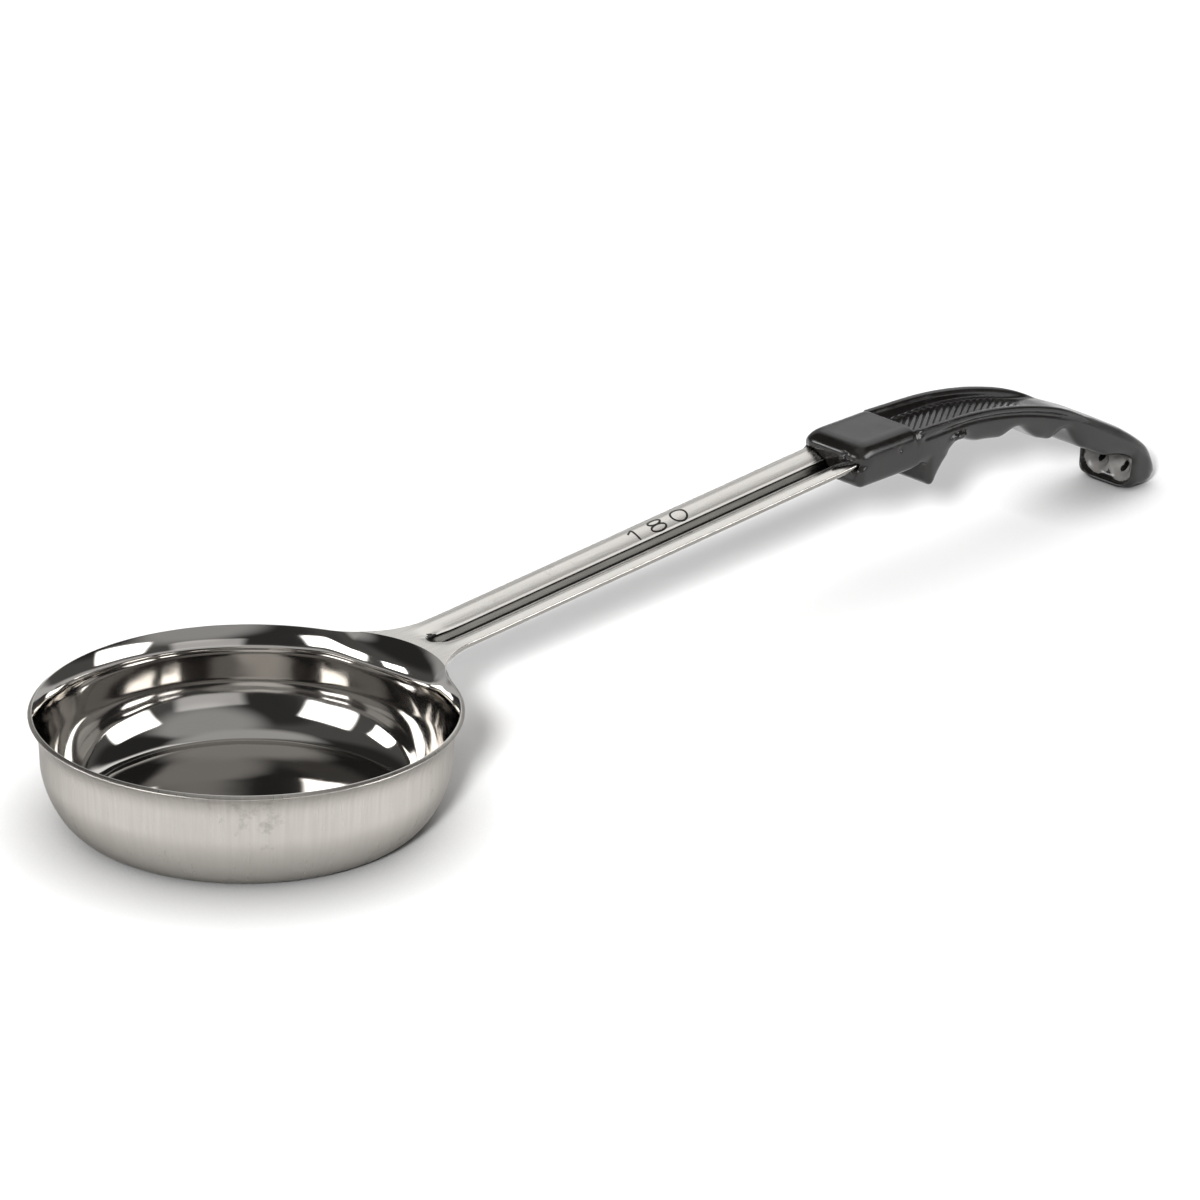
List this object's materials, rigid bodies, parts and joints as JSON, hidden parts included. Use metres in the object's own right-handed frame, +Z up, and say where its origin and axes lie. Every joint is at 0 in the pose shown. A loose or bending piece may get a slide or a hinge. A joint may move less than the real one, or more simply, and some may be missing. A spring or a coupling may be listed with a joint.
{
  "type": "portion control ladle",
  "caption": "Portion control ladle: a flat-bottomed stainless steel bowl and troughed shank in one pressing, with a black moulded grip that has a thumb channel, finger scallops and a stop lug.",
  "frame": {"origin": "centre of the bowl's flat base, on the surface that the ladle stands on", "axes": "+X along the handle towards the grip, +Y to the left seen from the bowl, +Z up out of the bowl"},
  "size_m": [0.3528, 0.1, 0.0394],
  "materials": {
    "stainless_steel": "polished inside the bowl, satin elsewhere",
    "black_plastic": "semi-gloss"
  },
  "bodies": {
    "root": {"steel_body": "stainless_steel", "grip": "black_plastic"}
  },
  "joints": []
}
